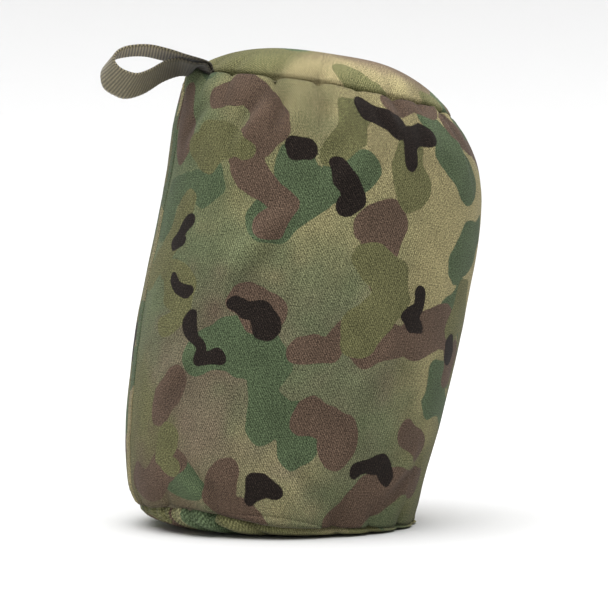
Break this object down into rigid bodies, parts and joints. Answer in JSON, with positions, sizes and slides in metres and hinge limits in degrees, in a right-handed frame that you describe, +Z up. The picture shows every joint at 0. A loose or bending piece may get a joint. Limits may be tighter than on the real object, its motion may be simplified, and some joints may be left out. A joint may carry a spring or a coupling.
{
  "type": "training bumper",
  "caption": "Stuffed cylindrical fabric bumper in a camouflage print, domed at both ends, standing on its base and leaning, with a webbing finger loop sewn into the top rim.",
  "frame": {"origin": "the middle of the flat patch that the bag stands on", "axes": "+Z up; +X to the right of the front, the way the bag leans; the front, with the closed filling opening, faces -Y"},
  "size_m": [0.1693, 0.1458, 0.2138],
  "materials": {
    "camo_fabric": "woven cloth with a printed camouflage pattern",
    "webbing": "ribbed narrow webbing",
    "binding_tape": "plain woven tape",
    "thread": "sewing thread",
    "lining_fabric": "thin plain cloth",
    "fill_pellets": "small light pellets"
  },
  "bodies": {
    "bag": {"side_panel": "camo_fabric", "top_panel": "camo_fabric", "base_panel": "camo_fabric", "side_seam_strip": "camo_fabric", "port_lip": "camo_fabric", "loop_tail_upper": "webbing", "loop_tail_lower": "webbing", "top_rim_binding": "binding_tape", "base_rim_binding": "binding_tape", "loop_bar_tack": "thread", "top_rim_thread": "thread", "base_rim_thread": "thread", "side_seam_thread_front": "thread", "side_seam_thread_back": "thread", "port_thread": "thread", "lining_side": "lining_fabric", "lining_top": "lining_fabric", "lining_base": "lining_fabric", "fill_pellets": "fill_pellets"},
    "loop": {"carry_loop": "webbing"}
  },
  "joints": [
    {"name": "carry_loop_swing", "type": "hinge", "parent": "bag", "child": "loop", "pos_m": [-0.03905, -0.02889, 0.20483], "axis": [-0.4636, 0.8829, 0.0743], "range_deg": [-20, 115], "stiffness_Nm_per_rad": 0.02}
  ]
}
